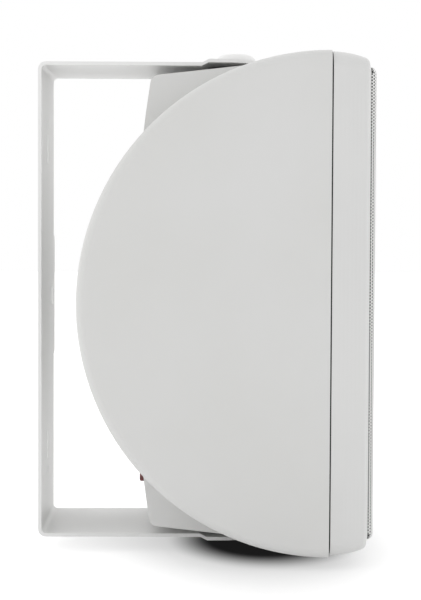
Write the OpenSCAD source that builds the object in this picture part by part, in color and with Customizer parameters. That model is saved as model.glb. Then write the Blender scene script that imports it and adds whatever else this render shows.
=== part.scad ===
// Installation speaker: a two-way cabinet with round cheeks that swivels in a U shaped wall bracket.
// Millimetres. The wall face of the bracket lies in the plane y = 0, the front looks along -Y and +Z is up.
// The origin is the centre of the wall face. Front parts are drawn as (x, z, distance forward of the seam).

/* [Cabinet] */
// Width over the two cheeks
cabinet_w = 190; // [184:1:210]
// Height, which is also the diameter of the round cheeks
cabinet_h = 280; // [278:1:300]
// Wall thickness of the moulded shell
shell_wall = 3.5; // [2.5:0.1:4.5]
// Radius along the outer edge of the cheeks
cheek_edge_r = 5; // [4.6:0.1:7]
// Width of the narrow spine between the cheeks
spine_w = 112; // [106:1:118]
// Depth of the spine behind the seam at mid height
spine_depth = 109.7; // [106:0.1:116]
// Radius of the bowed rear wall of the spine
spine_bow_r = 815; // [700:5:1000]
// Slope of the top and bottom of the spine in degrees
spine_slope = 6.5; // [5:0.1:7]
// Radius of the rear corners of the spine
spine_corner_r = 5; // [4:0.5:8]

/* [Bracket] */
// Thickness of the bracket sheet
sheet_t = 2; // [1.6:0.1:2.4]
// Width of the bracket
bracket_w = 86.8; // [80:0.2:92]
// Inner bend radius of the bracket corners
bend_r = 2.5; // [1.5:0.1:4]
// Distance from the wall to the swivel axis
pivot_reach = 115; // [114:0.5:130]
// Distance from the swivel axis to the tip of an arm
arm_tip = 13; // [12:0.5:15]
// Corner radius of the arm tips
arm_corner_r = 20; // [14:1:26]
// Outward step of the arm end round the swivel axis
joggle = 2; // [1.5:0.1:2.4]
// Distance from the swivel axis to the start of the step
joggle_reach = 21; // [19:0.5:24]
// Length of the sloped part of the step
joggle_run = 4; // [3:0.5:6]
// Height of the wider middle zone of the wall plate
ear_h = 74.6; // [50:0.2:90]
// Extra width of the middle zone, on one side only
ear_w = 6.6; // [4.2:0.2:10]
// Radius of the round wall screw holes
wall_hole_r = 3; // [2.5:0.1:3.5]
// Height of the round wall screw holes above and below the middle
wall_hole_z = 105; // [102:0.5:112]
// Height of the wall slots above and below the middle
wall_slot_z = 89; // [80:0.5:90]
// End to end length of the wall slots
wall_slot_len = 18; // [12:0.5:20]
// Width of the wall slots
wall_slot_w = 6; // [5:0.1:7]
// Length of the opening for a safety rope
rope_slot_len = 16; // [14:0.5:20]
// Width of the opening for a safety rope
rope_slot_w = 11; // [8:0.5:14]
// Sideways place of the opening for a safety rope
rope_slot_x = 31.7; // [28:0.1:34]

/* [Swivel] */
// Distance from the seam back to the swivel axis
pivot_setback = 50; // [48:0.5:54]
// Radius of the flat pad that the washer lies on
pad_r = 19; // [17:0.5:20]
// Height of the pad above the sloping spine at the axis
pad_rise = 1.7; // [1.5:0.1:1.9]
// Radius of the friction washer
washer_r = 16; // [12:0.5:16.5]
// Thickness of the friction washer
washer_t = 1.3; // [1:0.1:1.6]
// Radius of the clamp stud
stud_r = 3; // [2.5:0.1:3.5]
// Length of the stud inside the threaded insert
stud_grip = 8; // [6:0.5:9]
// Outer radius of the threaded insert
insert_r = 5.5; // [5:0.1:6]
// Length of the threaded insert
insert_len = 11; // [10:0.5:12]
// Base radius of the clamp knob
knob_r = 12.5; // [11:0.1:14]
// Height of the clamp knob
knob_h = 6.5; // [5.5:0.1:8]
// Radius of the flat top of the knob
knob_top_r = 6; // [4.5:0.1:7]
// Height of the upright rim of the knob
knob_rim_h = 2; // [1.4:0.1:2.6]
// Number of finger flutes round the knob
knob_flutes = 10; // [6:1:12]

/* [Baffle and grille] */
// Dark joint between cabinet and baffle, filled by the seal
seam_gap = 0.8; // [0.5:0.1:1.2]
// Forward distance from the seam to the front edge of the bezel
bezel_depth = 21.5; // [21:0.1:23]
// Radius of the bowed sides of the bezel, from the seam to the front
bezel_bow_r = 55; // [52:1:90]
// Radius along the front edge of the bezel
bezel_edge_r = 4; // [3:0.1:4.5]
// Corner radius of the bezel seen from the front
bezel_corner_r = 9.5; // [9:0.1:12]
// Step from the cabinet side in to the bezel side
bezel_inset = 0.4; // [0.2:0.1:0.8]
// Thickness of the front panel
panel_t = 4; // [3.5:0.1:4.5]
// Forward distance from the seam to the front of the panel
panel_front = 15; // [14.5:0.1:15.5]
// Width of the bezel outside the grille
grille_margin = 8.6; // [8.2:0.1:9]
// Forward distance from the seam to the grille face
grille_front = 25.5; // [25:0.1:28]
// Thickness of the perforated sheet
grille_t = 1; // [0.8:0.1:1.2]
// Radius where the grille wraps round its edges
grille_edge_r = 4; // [3:0.1:4.4]
// Corner radius of the grille seen from the front
grille_corner_r = 5; // [4.6:0.1:7]
// Pitch of the openings in the grille
grille_pitch = 12; // [12:0.5:16]
// Radius of one opening in the grille
grille_hole_r = 4.7; // [3:0.1:5]
// Width of the seal in the seam
seal_w = 2; // [1.5:0.1:2.2]

/* [Woofer] */
// Outer radius of the woofer flange
woofer_r = 82.5; // [80:0.1:83]
// Height of the woofer axis, below the middle
woofer_z = -45; // [-46:0.5:-44.5]
// Thickness of the woofer flange
woofer_flange_t = 2.5; // [2:0.1:3]
// Radius of the cut-out for the woofer
woofer_cutout_r = 75.5; // [75.2:0.1:76]
// Thickness of the foam ring under the woofer flange
woofer_seal_t = 1; // [0.8:0.1:1.2]
// Radius of the circle of woofer screws
woofer_screw_circle = 79; // [78.8:0.1:79.3]
// Depth of the basket behind its flange
basket_depth = 39.5; // [38:0.5:44]
// Thickness of the basket sheet
basket_t = 1.5; // [1.2:0.1:1.8]
// Radius of the rear tube of the basket
basket_rear_r = 44; // [43:0.5:47]
// Number of windows in the basket
basket_windows = 4; // [3:1:6]
// Radius of the ferrite ring
magnet_r = 45; // [40:0.5:48]
// Thickness of the ferrite ring
magnet_t = 15; // [10:0.5:20]
// Radius of the steel plates of the woofer motor
motor_plate_r = 42; // [36:0.5:42]
// Thickness of the steel plates of the woofer motor
motor_plate_t = 6; // [5:0.5:7]
// Radius of the pole piece
pole_r = 12; // [11:0.1:12.2]
// Outer radius of the voice coil tube
coil_tube_r = 12.9; // [12.8:0.1:13.2]
// Wall of the voice coil tube
coil_tube_t = 0.3; // [0.2:0.1:0.4]
// Thickness of the winding on the tube
coil_wire_t = 0.5; // [0.4:0.1:0.6]
// Height of the winding
coil_h = 12; // [10:0.5:14]
// Radius of the outer edge of the cone
cone_r = 60; // [58:0.5:62]
// Thickness of the paper cone
cone_t = 0.9; // [0.6:0.1:1.2]
// Radius of the half round roll of the surround
roll_r = 5; // [4:0.1:5.2]
// Thickness of the rubber surround
roll_t = 0.8; // [0.6:0.1:1]
// Base radius of the dust cap
cap_r = 17; // [15:0.5:20]
// Travel of the cone each way, which the motor leaves free
cone_travel = 4; // [4:0.1:5]

/* [Tweeter] */
// Outer radius of the tweeter faceplate
tweeter_r = 41.5; // [40.5:0.1:42]
// Height of the tweeter axis above the middle
tweeter_z = 82; // [81.5:0.5:84]
// Thickness of the tweeter faceplate
tweeter_plate_t = 3; // [2.5:0.1:3.4]
// Radius of the cut-out for the tweeter
tweeter_cutout_r = 31; // [30.8:0.1:32]
// Radius of the circle of tweeter screws
tweeter_screw_circle = 36.5; // [36:0.1:37]
// Radius of the dome
dome_r = 12.6; // [12:0.1:13]
// Height of the dome
dome_h = 4.5; // [3.5:0.1:5]
// Radius of the tweeter magnet
tweeter_magnet_r = 30; // [26:0.5:30]
// Thickness of the tweeter magnet
tweeter_magnet_t = 8; // [6:0.5:10]

/* [Crossover] */
// Width of the crossover board
board_w = 80; // [78:1:90]
// Height of the crossover board
board_h = 50; // [48:1:56]
// Thickness of the crossover board
board_t = 1.6; // [1.2:0.1:2]
// Height of the middle of the board
board_z = 55; // [50:1:60]
// Distance from the inside of the rear wall to the board
board_gap = 10; // [8:0.5:14]

/* [Terminal] */
// Width of the terminal plate
terminal_w = 46; // [42:1:60]
// Height of the terminal plate
terminal_h = 26; // [24:0.5:28]
// Thickness of the terminal plate
terminal_t = 1.8; // [1.5:0.1:2.2]
// Height of the middle of the terminal plate above the bottom of the cabinet
terminal_rise = 37; // [36:0.5:42]
// Depth of the terminal housing behind its plate
terminal_depth = 16; // [15.5:0.5:20]
// Sideways distance of each lever from the middle
lever_x = 9.5; // [7:0.5:10]
// Width of a lever
lever_w = 8; // [6:0.5:9]
// Height of a lever
lever_h = 5; // [4:0.1:5.2]
// Length by which a lever stands out of the plate
lever_out = 5.8; // [5:0.1:6.5]
// Travel of a lever
lever_travel = 2.5; // [2.5:0.1:3]
// Room left for the spring behind a lever that is pushed in
spring_room = 3.8; // [3:0.1:4.5]
// Radius of the wire entry holes
wire_hole_r = 1.6; // [1.2:0.1:1.8]

/* [Fasteners] */
// Shank radius of the baffle screws
baffle_screw_r = 2; // [1.6:0.1:2.2]
// Length of the baffle screws under the head
baffle_screw_len = 28; // [24:1:32]
// Shank radius of the driver and terminal screws
small_screw_r = 1.6; // [1.2:0.1:1.7]
// Length of the driver screws under the head
small_screw_len = 11; // [9:0.5:12]
// Sideways place of the baffle screws from the cabinet side
screw_from_side = 14.5; // [14:0.1:15.5]
// Distance of the corner baffle screws from the top and bottom
screw_from_end = 17; // [16.5:0.5:19]

// Radius of the bosses for the baffle screws
boss_r = 5.5; // [5:0.1:6]
// Thickness of the rib that ties a boss to the side
rib_t = 3; // [2:0.1:4]

/* [Wadding and wires] */
// Thickness of the damping pad in each cheek
wadding_t = 20; // [10:0.5:22]
// Radius of the inner wires
wire_r = 1.5; // [1:0.1:1.8]

/* [Fits] */
// Gap between pieces that move past each other
move_gap = 0.3; // [0.2:0.05:0.4]
// Radial clearance of the clamp stud in its insert
stud_fit = 0.05; // [0.02:0.01:0.1]
// Radial clearance of a screw in its pilot hole
pilot_fit = 0.05; // [0.02:0.01:0.1]
// Radial clearance of a screw in a through hole
through_fit = 0.3; // [0.2:0.05:0.5]
// Gap round a seated plate or flange
seat_gap = 0.3; // [0.2:0.05:0.4]

/* [Hidden] */
$fn = 64;
big = 400;
seam_y = -(pivot_reach + pivot_setback);
cheek_w = (cabinet_w - spine_w) / 2;
cheek_r = cabinet_h / 2;
terminal_z = terminal_rise - cheek_r;
pad_z = cheek_r - pivot_setback * tan(spine_slope) + pad_rise;
arm_end_inner = pad_z + washer_t + move_gap;
arm_end_outer = arm_end_inner + sheet_t;
arm_inner = arm_end_inner - joggle;
arm_outer = arm_inner + sheet_t;
arm_tip_y = -(pivot_reach + arm_tip);
panel_back = panel_front - panel_t;
grille_w = cabinet_w - 2 * grille_margin;
grille_h = cabinet_h - 2 * grille_margin;
grille_rim = grille_front - panel_front;
woofer_floor = panel_front - woofer_flange_t - woofer_seal_t;
woofer_seat_v = woofer_floor + woofer_seal_t;
basket_rear_v = woofer_seat_v - basket_depth;
gap_plate_r = coil_tube_r + coil_wire_t + 2 * move_gap;
spider_v = basket_rear_v + 9 + cone_travel;
neck_v = spider_v + 4;
tweeter_floor = panel_front - tweeter_plate_t;
tweeter_gap_r = dome_r + 2 * move_gap;
driver_ring_t = 4.5;
terminal_face = back_y(terminal_z - terminal_h / 2) - 0.4;
terminal_floor = terminal_face - terminal_t;
lever_z = terminal_z - 4;
wire_hole_z = terminal_z + 4;
lever_back = terminal_floor - terminal_depth + 1.5;
lever_len = terminal_face + lever_out - lever_back - lever_travel - spring_room;
terminal_screw_x = terminal_w / 2 - 3;
screw_x = cabinet_w / 2 - screw_from_side;
screw_z = cabinet_h / 2 - screw_from_end;
middle_screw_z = (woofer_z + tweeter_z) / 2 - 6.5;
screw_places = [for (x = [-1, 1], z = [-screw_z, middle_screw_z, screw_z]) [x * screw_x, z]];
board_y = back_y(board_z) - shell_wall - board_gap;
board_holes = [for (x = [-1, 1], z = [-1, 1]) [x * (board_w / 2 - 6), board_z + z * (board_h / 2 - 6)]];

// Place along Y of the bowed rear wall at height z
function back_y(z) = seam_y + spine_depth - spine_bow_r + sqrt(pow(spine_bow_r, 2) - z * z);

// Height of the sloping top of the spine at place y
function slope_z(y) = cheek_r - (y - seam_y) * tan(spine_slope);

// Height of the centre of a rear corner arc, found by stepping to where both tangents meet
function corner_y(r, inset, z) =
    seam_y + spine_depth - spine_bow_r + sqrt(pow(spine_bow_r - inset - r, 2) - z * z);
function corner_z(r, inset, n) =
    slope_z(corner_y(r, inset, n == 0 ? 0.9 * cheek_r : corner_z(r, inset, n - 1)))
    - (r + inset) / cos(spine_slope);

// Points of an arc from angle a to angle b
function arc(cx, cy, r, a, b, n) =
    [for (i = [0:n]) let (t = a + (b - a) * i / n) [cx + r * cos(t), cy + r * sin(t)]];

// Side profile of the spine as (y, z), drawn in by an inset and with a lead in front of the seam
function spine_half(inset, lead) =
    let (r = spine_corner_r - min(inset, spine_corner_r - 1),
         cz = corner_z(r, inset, 6),
         cy = corner_y(r, inset, cz),
         bow = spine_bow_r - inset,
         tilt = asin(cz / (bow - r)))
    concat([[seam_y - lead, slope_z(seam_y - lead) - inset / cos(spine_slope)]],
           arc(cy, cz, r, 90 - spine_slope, tilt, 8),
           arc(seam_y + spine_depth - spine_bow_r, 0, bow, tilt, 0, 12));

// A front part: local x stays, local y points up and local z points forward from the seam
module front_frame(z = 0) {
    translate([0, seam_y, z]) rotate([90, 0, 0]) children();
}

// Both mirror images about the plane x = 0
module both_sides() {
    children();
    mirror([1, 0, 0]) children();
}

// Both mirror images about the plane z = 0
module top_and_bottom() {
    children();
    mirror([0, 0, 1]) children();
}

// A rectangle with round corners
module round_rect(w, h, r) {
    square([w - 2 * r, h], center = true);
    square([w, h - 2 * r], center = true);
    for (x = [-1, 1], y = [-1, 1]) translate([x * (w / 2 - r), y * (h / 2 - r)]) circle(r, $fn = 32);
}

// Sweeps a profile, drawn as (outward, forward), round a rectangle with round corners
module sweep_frame(w, h, r) {
    for (q = [0:3]) {
        along = q % 2 == 0 ? h : w;
        across = q % 2 == 0 ? w : h;
        rotate([0, 0, 90 * q]) {
            translate([across / 2, along / 2 - r, 0]) rotate([90, 0, 0])
                linear_extrude(along - 2 * r) children();
            translate([across / 2 - r, along / 2 - r, 0])
                rotate_extrude(angle = 90, $fn = 48) translate([r, 0]) children();
        }
    }
}

// A flat ring or tube from height a to height b
module ring(outer, inner, a, b) {
    translate([0, 0, a]) difference() {
        cylinder(r = outer, h = b - a);
        translate([0, 0, -1]) cylinder(r = inner, h = b - a + 2);
    }
}

// Half disc behind the seam with a rounded edge, from x = a to x = b
module cheek_disc(r, a, b, edge, lead = 1) {
    translate([a, seam_y, 0]) rotate([0, 90, 0]) intersection() {
        rotate_extrude($fn = 160)
            polygon(concat([[0, 0], [r, 0]], arc(r - edge, b - a - edge, edge, 0, 90, 8), [[0, b - a]]));
        translate([-big / 2, -lead, -1]) cube([big, big / 2, b - a + 2]);
    }
}

// The spine as a solid bar of a given width, drawn in by an inset
module spine_bar(w, inset, lead = 1) {
    half = spine_half(inset, lead);
    rotate([90, 0, 90]) translate([0, 0, -w / 2]) linear_extrude(w)
        polygon(concat(half, [for (i = [len(half) - 2:-1:0]) [half[i][0], -half[i][1]]]));
}

// A round bar with a screw head on top, drawn with the underside of the head at height 0
module screw(r, len, head_r, head_h) {
    translate([0, 0, -len]) cylinder(r = r, h = len, $fn = 24);
    rotate_extrude($fn = 32) difference() {
        polygon([[0, 0], [head_r, 0], [head_r, 0.4 * head_h], [0.6 * head_r, head_h], [0, head_h]]);
        translate([0, 0.5 * head_h]) square([0.3 * head_r, head_h]);
    }
}

// A wire through a list of points
module wire(points) {
    for (i = [0:len(points) - 2]) {
        v = points[i + 1] - points[i];
        lap = i < len(points) - 2 ? wire_r / 2 : 0;
        translate(points[i]) rotate([0, acos(v[2] / norm(v)), atan2(v[1], v[0])])
            cylinder(r = wire_r, h = norm(v) + lap, $fn = 20);
    }
}

// Outside of the cabinet
module cabinet_outside() {
    spine_bar(spine_w, 0, 0);
    both_sides() cheek_disc(cheek_r, spine_w / 2, cabinet_w / 2, cheek_edge_r, 0);
}

// Inside space of the cabinet, open at the seam, with a passage from the spine to each cheek
module cabinet_inside() {
    r = cheek_r - shell_wall;
    passage = 1.6 * shell_wall;
    spine_bar(spine_w - 2 * shell_wall, shell_wall);
    both_sides() {
        cheek_disc(r, spine_w / 2 + shell_wall, cabinet_w / 2 - shell_wall, cheek_edge_r - shell_wall);
    }
    both_sides() intersection() {
        spine_bar(spine_w + 2 * passage - 1, shell_wall);
        cheek_disc(r, spine_w / 2 - passage, spine_w / 2 + passage, 0.5);
    }
}

// Boss for a baffle screw with a rib to the side of the cheek
module baffle_boss(place) {
    len = baffle_screw_len - panel_back;
    reach = cabinet_w / 2 - shell_wall + 0.5;
    translate([place[0], seam_y, place[1]]) rotate([-90, 0, 0]) cylinder(r = boss_r, h = len, $fn = 32);
    mirror([place[0] < 0 ? 1 : 0, 0, 0]) translate([screw_x, seam_y, place[1] - rib_t / 2])
        cube([reach - screw_x, len - 4, rib_t]);
}

// Moulded cabinet with cheeks, spine, swivel pads, bosses and the terminal well
module rear_cabinet() {
    insert_floor = pad_z - insert_len;
    color("white") difference() {
        union() {
            difference() {
                cabinet_outside();
                cabinet_inside();
            }
            top_and_bottom() translate([0, -pivot_reach, 0]) {
                translate([0, 0, pad_z - pad_rise - 4]) cylinder(r = pad_r, h = pad_rise + 4);
                translate([0, 0, insert_floor - 2]) cylinder(r = insert_r + 2.5, h = insert_len);
            }
            for (p = screw_places) baffle_boss(p);
            for (p = board_holes) translate([p[0], board_y, p[1]]) rotate([-90, 0, 0])
                cylinder(r = 3.5, h = back_y(p[1]) - 1 - board_y, $fn = 32);
            intersection() {
                translate([-big / 2, terminal_floor - 3, terminal_z - terminal_h / 2 - 3])
                    cube([big, 20, terminal_h + 6]);
                spine_bar(terminal_w + 6, 1);
            }
        }
        top_and_bottom() translate([0, -pivot_reach, 0]) {
            translate([0, 0, pad_z]) cylinder(r = pad_r, h = 8);
            translate([0, 0, insert_floor]) cylinder(r = insert_r, h = big);
        }
        for (p = screw_places) translate([p[0], seam_y - 1, p[1]]) rotate([-90, 0, 0])
            cylinder(r = baffle_screw_r + pilot_fit, h = baffle_screw_len - panel_back - 2, $fn = 24);
        for (p = board_holes) translate([p[0], board_y - 1, p[1]]) rotate([-90, 0, 0])
            cylinder(r = small_screw_r + pilot_fit, h = 8, $fn = 24);
        terminal_well();
    }
}

// Recess for the terminal plate and the hole for its housing
module terminal_well() {
    translate([-terminal_w / 2 - seat_gap, terminal_floor, terminal_z - terminal_h / 2 - seat_gap])
        cube([terminal_w + 2 * seat_gap, 30, terminal_h + 2 * seat_gap]);
    translate([-terminal_w / 2 + 6, terminal_floor - 20, terminal_z - terminal_h / 2 + 3])
        cube([terminal_w - 12, 30, terminal_h - 6]);
    for (x = [-1, 1]) translate([x * terminal_screw_x, terminal_floor + 1, terminal_z])
        rotate([90, 0, 0]) cylinder(r = small_screw_r + pilot_fit, h = 10, $fn = 24);
}

// Outline of the bezel as (outward, forward): a bowed side that runs into a small front radius
module bezel_profile() {
    front_v = bezel_depth - bezel_edge_r;
    bow_u = -bezel_inset - bezel_bow_r;
    meet = asin(front_v / (bezel_bow_r - bezel_edge_r));
    edge_u = bow_u + (bezel_bow_r - bezel_edge_r) * cos(meet);
    polygon(concat([[-bezel_corner_r, seam_gap]],
                   arc(bow_u, 0, bezel_bow_r, asin(seam_gap / bezel_bow_r), meet, 8),
                   arc(edge_u, front_v, bezel_edge_r, meet, 90, 8),
                   [[-bezel_corner_r, bezel_depth]]));
}

// Baffle with bezel, grille pocket, driver seats and screw tubes
module front_baffle() {
    pocket_w = grille_w + 2 * seat_gap;
    pocket_h = grille_h + 2 * seat_gap;
    ring_back = panel_back + 1;
    color("white") front_frame() difference() {
        union() {
            difference() {
                union() {
                    sweep_frame(cabinet_w, cabinet_h, bezel_corner_r) bezel_profile();
                    translate([0, 0, seam_gap]) linear_extrude(bezel_depth - seam_gap)
                        square([cabinet_w, cabinet_h] - 2 * [bezel_corner_r, bezel_corner_r], center = true);
                }
                translate([0, 0, panel_front]) linear_extrude(bezel_depth)
                    round_rect(pocket_w, pocket_h, grille_corner_r + seat_gap);
                translate([0, 0, -1]) linear_extrude(panel_back + 1)
                    round_rect(cabinet_w - 2 * shell_wall - 6, cabinet_h - 2 * shell_wall - 6, 6);
            }
            translate([0, woofer_z, 0])
                ring(woofer_r + 1, woofer_cutout_r, woofer_floor - driver_ring_t, ring_back);
            translate([0, tweeter_z, 0])
                ring(tweeter_r, tweeter_cutout_r, tweeter_floor - driver_ring_t, ring_back);
            for (p = screw_places) translate([p[0], p[1], seam_gap])
                cylinder(r = boss_r - 0.5, h = panel_front - seam_gap, $fn = 32);
        }
        translate([0, woofer_z, 0])
            driver_seat(woofer_r, woofer_cutout_r, woofer_floor, woofer_screw_circle);
        translate([0, tweeter_z, 0])
            driver_seat(tweeter_r, tweeter_cutout_r, tweeter_floor, tweeter_screw_circle);
        for (p = screw_places) translate([p[0], p[1], -1]) {
            cylinder(r = baffle_screw_r + through_fit, h = big, $fn = 24);
        }
    }
}

// Recess, cut-out and pilot holes for a round driver
module driver_seat(r, cutout_r, floor_v, circle_r) {
    translate([0, 0, floor_v]) cylinder(r = r + seat_gap, h = 20, $fn = 96);
    translate([0, 0, -20]) cylinder(r = cutout_r, h = 60, $fn = 96);
    for (a = [45:90:315]) rotate([0, 0, a]) translate([circle_r, 0, floor_v - 12]) {
        cylinder(r = small_screw_r + pilot_fit, h = 20, $fn = 24);
    }
}

// Perforated steel tray over the drivers, with a coarser pitch than the real sheet
module grille() {
    face_w = grille_w - 2 * grille_edge_r;
    face_h = grille_h - 2 * grille_edge_r;
    column = grille_pitch * cos(30);
    columns = floor((face_w / 2 - grille_hole_r - 1) / column);
    rows = floor((face_h / 2 - grille_hole_r - 1) / grille_pitch);
    color("white") front_frame() {
        sweep_frame(grille_w, grille_h, grille_corner_r) grille_edge();
        translate([0, 0, grille_front - grille_t]) linear_extrude(grille_t) difference() {
            square([face_w, face_h], center = true);
            for (i = [-columns:columns]) {
                shift = i % 2 == 0 ? 0 : 0.5;
                for (j = [-rows:rows - 2 * shift]) {
                    translate([i * column, (j + shift) * grille_pitch]) circle(grille_hole_r, $fn = 6);
                }
            }
        }
    }
}

// Wrapped edge of the grille as (outward, forward)
module grille_edge() {
    translate([-grille_t, panel_front + seat_gap])
        square([grille_t, grille_rim - grille_edge_r - seat_gap]);
    translate([-grille_edge_r, grille_front - grille_edge_r]) intersection() {
        difference() {
            circle(grille_edge_r, $fn = 32);
            circle(grille_edge_r - grille_t, $fn = 32);
        }
        square(grille_edge_r);
    }
}

// Dark foam seal in the seam
module cabinet_seal() {
    color("dimgray") front_frame() sweep_frame(cabinet_w, cabinet_h, bezel_corner_r)
        translate([-shell_wall, 0]) square([seal_w, seam_gap]);
}

// Screws that hold the baffle, hidden behind the grille
module baffle_screws() {
    color("silver") front_frame() for (p = screw_places) translate([p[0], p[1], panel_front])
        screw(baffle_screw_r, baffle_screw_len, 2 * baffle_screw_r, 1.6);
}

// Pressed steel basket with windows and a ledge for the spider
module woofer_basket() {
    inner_r = basket_rear_r - basket_t;
    front_v = woofer_seat_v + woofer_flange_t;
    color("dimgray") front_frame(woofer_z) difference() {
        rotate_extrude($fn = 96)
            polygon([[woofer_cutout_r - 2, front_v], [woofer_r, front_v], [woofer_r, woofer_seat_v],
                     [woofer_cutout_r - 0.4, woofer_seat_v], [basket_rear_r, spider_v],
                     [basket_rear_r, basket_rear_v], [gap_plate_r + 2, basket_rear_v],
                     [gap_plate_r + 2, basket_rear_v + basket_t], [inner_r, basket_rear_v + basket_t],
                     [inner_r, spider_v - basket_t], [inner_r - 4.5, spider_v - basket_t],
                     [inner_r - 4.5, spider_v], [inner_r, spider_v],
                     [woofer_cutout_r - 2, woofer_seat_v]]);
        for (i = [0:basket_windows - 1]) rotate([0, 0, 360 * (i + 0.5) / basket_windows])
            translate([0, 0, spider_v + 2]) rotate_extrude(angle = 220 / basket_windows, $fn = 96)
                translate([basket_rear_r - 4, 0]) square([woofer_r, woofer_seat_v - spider_v - 6]);
        for (a = [45:90:315]) rotate([0, 0, a]) translate([woofer_screw_circle, 0, woofer_seat_v - 1])
            cylinder(r = small_screw_r + through_fit, h = 10, $fn = 24);
    }
}

// Foam ring between basket flange and baffle
module woofer_seal() {
    color("black") front_frame(woofer_z) difference() {
        ring(woofer_r, woofer_cutout_r, woofer_floor, woofer_seat_v);
        for (a = [45:90:315]) rotate([0, 0, a]) translate([woofer_screw_circle, 0, woofer_floor - 1])
            cylinder(r = small_screw_r + through_fit, h = 10, $fn = 24);
    }
}

// Screws on a circle round a driver
module driver_screws(circle_r, v) {
    for (a = [45:90:315]) rotate([0, 0, a]) translate([circle_r, 0, v])
        screw(small_screw_r, small_screw_len, 2 * small_screw_r, 1.4);
}

module woofer_screws() {
    color("silver") front_frame(woofer_z) driver_screws(woofer_screw_circle, panel_front);
}

// Steel plate on the front of the ferrite ring
module woofer_top_plate() {
    color("silver") front_frame(woofer_z)
        ring(motor_plate_r, gap_plate_r, basket_rear_v - motor_plate_t, basket_rear_v);
}

// Ferrite ring
module woofer_magnet() {
    rear = basket_rear_v - motor_plate_t - magnet_t;
    color("dimgray") front_frame(woofer_z) ring(magnet_r, gap_plate_r + 4, rear, rear + magnet_t);
}

// Rear plate and pole in one turned piece
module woofer_yoke() {
    front = basket_rear_v - motor_plate_t - magnet_t;
    color("silver") front_frame(woofer_z) rotate_extrude($fn = 96) {
        translate([0, front - motor_plate_t]) square([motor_plate_r, motor_plate_t]);
        translate([0, front - 1]) square([pole_r, magnet_t + motor_plate_t + 1]);
    }
}

// Paper cone from the coil tube to the surround
module woofer_cone() {
    edge_v = panel_front - cone_t - 0.1;
    color("black") front_frame(woofer_z) rotate_extrude($fn = 96)
        polygon([[coil_tube_r + 0.1, neck_v], [cone_r, edge_v], [cone_r, edge_v + cone_t],
                 [coil_tube_r + 0.1, neck_v + cone_t]]);
}

// Rubber half roll with a lip on the cone and a lip on the flange
module woofer_surround() {
    mid = cone_r + roll_r + 0.6;
    color("black") front_frame(woofer_z) rotate_extrude($fn = 96) translate([0, panel_front]) {
        translate([mid, 0]) intersection() {
            difference() {
                circle(roll_r, $fn = 40);
                circle(roll_r - roll_t, $fn = 40);
            }
            translate([-big / 2, 0]) square([big, big / 2]);
        }
        translate([cone_r - 1, 0]) square([1.7 + roll_t / 2, roll_t]);
        translate([mid + roll_r - roll_t, 0])
            square([woofer_cutout_r - seat_gap - mid - roll_r + roll_t, roll_t]);
    }
}

// Dome over the coil in the middle of the cone
module woofer_dust_cap() {
    cap_v = neck_v + (panel_front - neck_v) * (cap_r - coil_tube_r) / (cone_r - coil_tube_r) + cone_t + 0.1;
    sphere_r = 1.4 * cap_r;
    color("black") front_frame(woofer_z) rotate_extrude($fn = 64) intersection() {
        translate([0, cap_v - sqrt(sphere_r * sphere_r - cap_r * cap_r)]) difference() {
            circle(sphere_r, $fn = 96);
            circle(sphere_r - 0.6, $fn = 96);
        }
        translate([0, cap_v]) square([cap_r, sphere_r]);
    }
}

// Corrugated cloth disc that centres the coil
module woofer_spider() {
    first = coil_tube_r + 0.1;
    last = basket_rear_r - basket_t - 0.5;
    waves = [for (i = [0:24]) let (t = i / 24)
        [first + (last - first - 3) * t, spider_v + 1.2 * (1 - cos(360 * 4 * t)) / 2]];
    color("goldenrod") front_frame(woofer_z) rotate_extrude($fn = 96)
        polygon(concat(waves, [[last, spider_v], [last, spider_v + 0.6]],
                       [for (i = [24:-1:0]) waves[i] + [0, 0.6]]));
}

// Coil tube with its winding
module woofer_voice_coil() {
    winding_v = basket_rear_v - motor_plate_t / 2 - coil_h / 2;
    color("orange") front_frame(woofer_z) {
        ring(coil_tube_r, coil_tube_r - coil_tube_t, winding_v - 2, neck_v + cone_t);
        ring(coil_tube_r + coil_wire_t, coil_tube_r, winding_v, winding_v + coil_h);
    }
}

// Moulded faceplate with a shallow horn
module tweeter_faceplate() {
    color("black") front_frame(tweeter_z) difference() {
        rotate_extrude($fn = 96)
            polygon([[tweeter_gap_r, tweeter_floor], [tweeter_r, tweeter_floor], [tweeter_r, panel_front],
                     [tweeter_r - 9, panel_front], [tweeter_gap_r, tweeter_floor + 1]]);
        for (a = [45:90:315]) rotate([0, 0, a]) translate([tweeter_screw_circle, 0, tweeter_floor - 1])
            cylinder(r = small_screw_r + through_fit, h = 10, $fn = 24);
    }
}

module tweeter_screws() {
    color("silver") front_frame(tweeter_z) driver_screws(tweeter_screw_circle, panel_front);
}

// Silk dome with its coil tube
module tweeter_dome() {
    sphere_r = (dome_r * dome_r + dome_h * dome_h) / (2 * dome_h);
    base = tweeter_floor + 0.6;
    color("dimgray") front_frame(tweeter_z) {
        rotate_extrude($fn = 64) intersection() {
            translate([0, base + dome_h - sphere_r]) difference() {
                circle(sphere_r, $fn = 96);
                circle(sphere_r - 0.4, $fn = 96);
            }
            translate([0, base]) square([dome_r, sphere_r]);
        }
        ring(dome_r, dome_r - 0.3, tweeter_floor - 5, base + 0.1);
    }
}

// Steel plate on the front of the tweeter magnet
module tweeter_top_plate() {
    color("silver") front_frame(tweeter_z)
        ring(tweeter_magnet_r - 6, tweeter_gap_r, tweeter_floor - 3, tweeter_floor);
}

// Ferrite ring of the tweeter
module tweeter_magnet() {
    rear = tweeter_floor - 3 - tweeter_magnet_t;
    color("dimgray") front_frame(tweeter_z)
        ring(tweeter_magnet_r, tweeter_gap_r + 2, rear, tweeter_floor - 3);
}

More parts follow.
